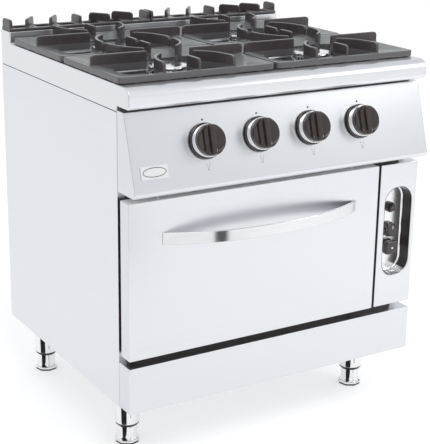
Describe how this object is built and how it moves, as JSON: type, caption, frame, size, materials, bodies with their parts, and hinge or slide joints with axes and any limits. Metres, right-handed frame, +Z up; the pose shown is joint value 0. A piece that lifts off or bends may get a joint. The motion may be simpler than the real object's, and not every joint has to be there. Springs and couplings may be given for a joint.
{
  "type": "commercial gas range",
  "caption": "Free-standing stainless gas range: open burners under cast-iron pan supports, slanted control panel, drop-down oven door, recessed oven controls, adjustable legs.",
  "frame": {"origin": "on the floor, under the centre of the bounding box", "axes": "+X to the right as seen by the cook, +Y to the rear, +Z up; the door and controls face -Y"},
  "size_m": [0.8, 0.76, 0.947],
  "materials": {
    "stainless_satin": "satin brushed stainless sheet",
    "stainless_bright": "polished stainless",
    "inner_steel": "dark vitreous enamel on steel",
    "cast_iron": "matt black-brown enamelled cast iron",
    "burner_alloy": "bright cast burner alloy",
    "brass_fittings": "plain machined brass",
    "knob_black": "gloss black-brown phenolic",
    "control_black": "semi-gloss black plastic",
    "seal_rubber": "black fibre-glass rope seal"
  },
  "bodies": {
    "range_body": {"side_panel_left": "stainless_satin", "side_panel_right": "stainless_satin", "back_panel": "stainless_satin", "base_tray": "stainless_satin", "front_frame": "stainless_satin", "kick_plate": "stainless_satin", "hob_top": "stainless_satin", "control_panel": "stainless_satin", "control_column": "stainless_satin", "nameplate": "stainless_bright", "door_hinge_left": "stainless_bright", "door_hinge_right": "stainless_bright", "control_recess": "stainless_bright", "rack_runner_left": "stainless_bright", "rack_runner_right": "stainless_bright", "leg_sleeve_front_left": "stainless_bright", "leg_sleeve_front_right": "stainless_bright", "leg_sleeve_rear_left": "stainless_bright", "leg_sleeve_rear_right": "stainless_bright", "oven_burner": "inner_steel", "oven_cavity": "inner_steel", "oven_flue_duct": "inner_steel", "oven_sole_plate": "cast_iron", "burner_body_front_left": "burner_alloy", "burner_body_front_right": "burner_alloy", "burner_body_rear_left": "burner_alloy", "burner_body_rear_right": "burner_alloy", "gas_manifold": "brass_fittings", "oven_gas_valve": "brass_fittings", "piezo_igniter": "control_black"},
    "door": {"door_outer": "stainless_satin", "door_inner": "stainless_bright", "door_seal": "seal_rubber", "door_handle": "stainless_bright"},
    "oven_rack": {"oven_rack": "stainless_bright"},
    "thermostat_knob": {"thermostat_knob": "knob_black"},
    "piezo_button": {"piezo_button": "control_black"},
    "safety_button": {"safety_button": "control_black"},
    "tap_spindle_one": {"tap_spindle_one": "brass_fittings"},
    "tap_knob_one": {"tap_knob_one": "knob_black"},
    "tap_spindle_two": {"tap_spindle_two": "brass_fittings"},
    "tap_knob_two": {"tap_knob_two": "knob_black"},
    "tap_spindle_three": {"tap_spindle_three": "brass_fittings"},
    "tap_knob_three": {"tap_knob_three": "knob_black"},
    "tap_spindle_four": {"tap_spindle_four": "brass_fittings"},
    "tap_knob_four": {"tap_knob_four": "knob_black"},
    "pan_support_front_left": {"pan_support_front_left": "cast_iron"},
    "burner_cap_front_left": {"burner_cap_front_left": "burner_alloy"},
    "leg_foot_front_left": {"leg_foot_front_left": "stainless_bright"},
    "pan_support_front_right": {"pan_support_front_right": "cast_iron"},
    "burner_cap_front_right": {"burner_cap_front_right": "burner_alloy"},
    "leg_foot_front_right": {"leg_foot_front_right": "stainless_bright"},
    "pan_support_rear_left": {"pan_support_rear_left": "cast_iron"},
    "burner_cap_rear_left": {"burner_cap_rear_left": "burner_alloy"},
    "leg_foot_rear_left": {"leg_foot_rear_left": "stainless_bright"},
    "pan_support_rear_right": {"pan_support_rear_right": "cast_iron"},
    "burner_cap_rear_right": {"burner_cap_rear_right": "burner_alloy"},
    "leg_foot_rear_right": {"leg_foot_rear_right": "stainless_bright"},
    "flue_grille_left": {"flue_grille_left": "cast_iron"},
    "flue_grille_right": {"flue_grille_right": "cast_iron"}
  },
  "joints": [
    {"name": "oven_door_drop", "type": "hinge", "parent": "range_body", "child": "door", "pos_m": [0, -0.306, 0.283], "axis": [1, 0, 0], "range_deg": [0, 90]},
    {"name": "oven_rack_slide", "type": "slide", "parent": "range_body", "child": "oven_rack", "axis": [0, -1, 0], "range_m": [0, 0.035]},
    {"name": "tap_one_turn", "type": "hinge", "parent": "range_body", "child": "tap_spindle_one", "pos_m": [-0.2135, -0.32237, 0.758], "axis": [0, -0.9552, 0.296], "range_deg": [0, 180]},
    {"name": "tap_one_push", "type": "slide", "parent": "tap_spindle_one", "child": "tap_knob_one", "axis": [0, 0.9552, -0.296], "range_m": [0, 0.003], "stiffness_N_per_m": 2500},
    {"name": "tap_two_turn", "type": "hinge", "parent": "range_body", "child": "tap_spindle_two", "pos_m": [-0.0732, -0.32237, 0.758], "axis": [0, -0.9552, 0.296], "range_deg": [0, 180]},
    {"name": "tap_two_push", "type": "slide", "parent": "tap_spindle_two", "child": "tap_knob_two", "axis": [0, 0.9552, -0.296], "range_m": [0, 0.003], "stiffness_N_per_m": 2500},
    {"name": "tap_three_turn", "type": "hinge", "parent": "range_body", "child": "tap_spindle_three", "pos_m": [0.0671, -0.32237, 0.758], "axis": [0, -0.9552, 0.296], "range_deg": [0, 180]},
    {"name": "tap_three_push", "type": "slide", "parent": "tap_spindle_three", "child": "tap_knob_three", "axis": [0, 0.9552, -0.296], "range_m": [0, 0.003], "stiffness_N_per_m": 2500},
    {"name": "tap_four_turn", "type": "hinge", "parent": "range_body", "child": "tap_spindle_four", "pos_m": [0.2074, -0.32237, 0.758], "axis": [0, -0.9552, 0.296], "range_deg": [0, 180]},
    {"name": "tap_four_push", "type": "slide", "parent": "tap_spindle_four", "child": "tap_knob_four", "axis": [0, 0.9552, -0.296], "range_m": [0, 0.003], "stiffness_N_per_m": 2500},
    {"name": "thermostat_turn", "type": "hinge", "parent": "range_body", "child": "thermostat_knob", "pos_m": [0.3466, -0.3, 0.46], "axis": [0, -1, 0], "range_deg": [0, 270]},
    {"name": "piezo_push", "type": "slide", "parent": "range_body", "child": "piezo_button", "axis": [0, 1, 0], "range_m": [0, 0.005], "stiffness_N_per_m": 1500},
    {"name": "safety_push", "type": "slide", "parent": "range_body", "child": "safety_button", "axis": [0, 1, 0], "range_m": [0, 0.004], "stiffness_N_per_m": 1500},
    {"name": "pan_support_front_left_lift", "type": "slide", "parent": "range_body", "child": "pan_support_front_left", "axis": [0, 0, 1], "range_m": [0, 0.05]},
    {"name": "pan_support_front_right_lift", "type": "slide", "parent": "range_body", "child": "pan_support_front_right", "axis": [0, 0, 1], "range_m": [0, 0.05]},
    {"name": "pan_support_rear_left_lift", "type": "slide", "parent": "range_body", "child": "pan_support_rear_left", "axis": [0, 0, 1], "range_m": [0, 0.05]},
    {"name": "pan_support_rear_right_lift", "type": "slide", "parent": "range_body", "child": "pan_support_rear_right", "axis": [0, 0, 1], "range_m": [0, 0.05]},
    {"name": "burner_cap_front_left_lift", "type": "slide", "parent": "range_body", "child": "burner_cap_front_left", "axis": [0, 0, 1], "range_m": [0, 0.03]},
    {"name": "burner_cap_front_right_lift", "type": "slide", "parent": "range_body", "child": "burner_cap_front_right", "axis": [0, 0, 1], "range_m": [0, 0.03]},
    {"name": "burner_cap_rear_left_lift", "type": "slide", "parent": "range_body", "child": "burner_cap_rear_left", "axis": [0, 0, 1], "range_m": [0, 0.03]},
    {"name": "burner_cap_rear_right_lift", "type": "slide", "parent": "range_body", "child": "burner_cap_rear_right", "axis": [0, 0, 1], "range_m": [0, 0.03]},
    {"name": "flue_grille_left_lift", "type": "slide", "parent": "range_body", "child": "flue_grille_left", "axis": [0, 0, 1], "range_m": [0, 0.03]},
    {"name": "flue_grille_right_lift", "type": "slide", "parent": "range_body", "child": "flue_grille_right", "axis": [0, 0, 1], "range_m": [0, 0.03]},
    {"name": "leg_front_left_level", "type": "slide", "parent": "range_body", "child": "leg_foot_front_left", "axis": [0, 0, -1], "range_m": [0, 0.025]},
    {"name": "leg_front_right_level", "type": "slide", "parent": "range_body", "child": "leg_foot_front_right", "axis": [0, 0, -1], "range_m": [0, 0.025]},
    {"name": "leg_rear_left_level", "type": "slide", "parent": "range_body", "child": "leg_foot_rear_left", "axis": [0, 0, -1], "range_m": [0, 0.025]},
    {"name": "leg_rear_right_level", "type": "slide", "parent": "range_body", "child": "leg_foot_rear_right", "axis": [0, 0, -1], "range_m": [0, 0.025]}
  ]
}
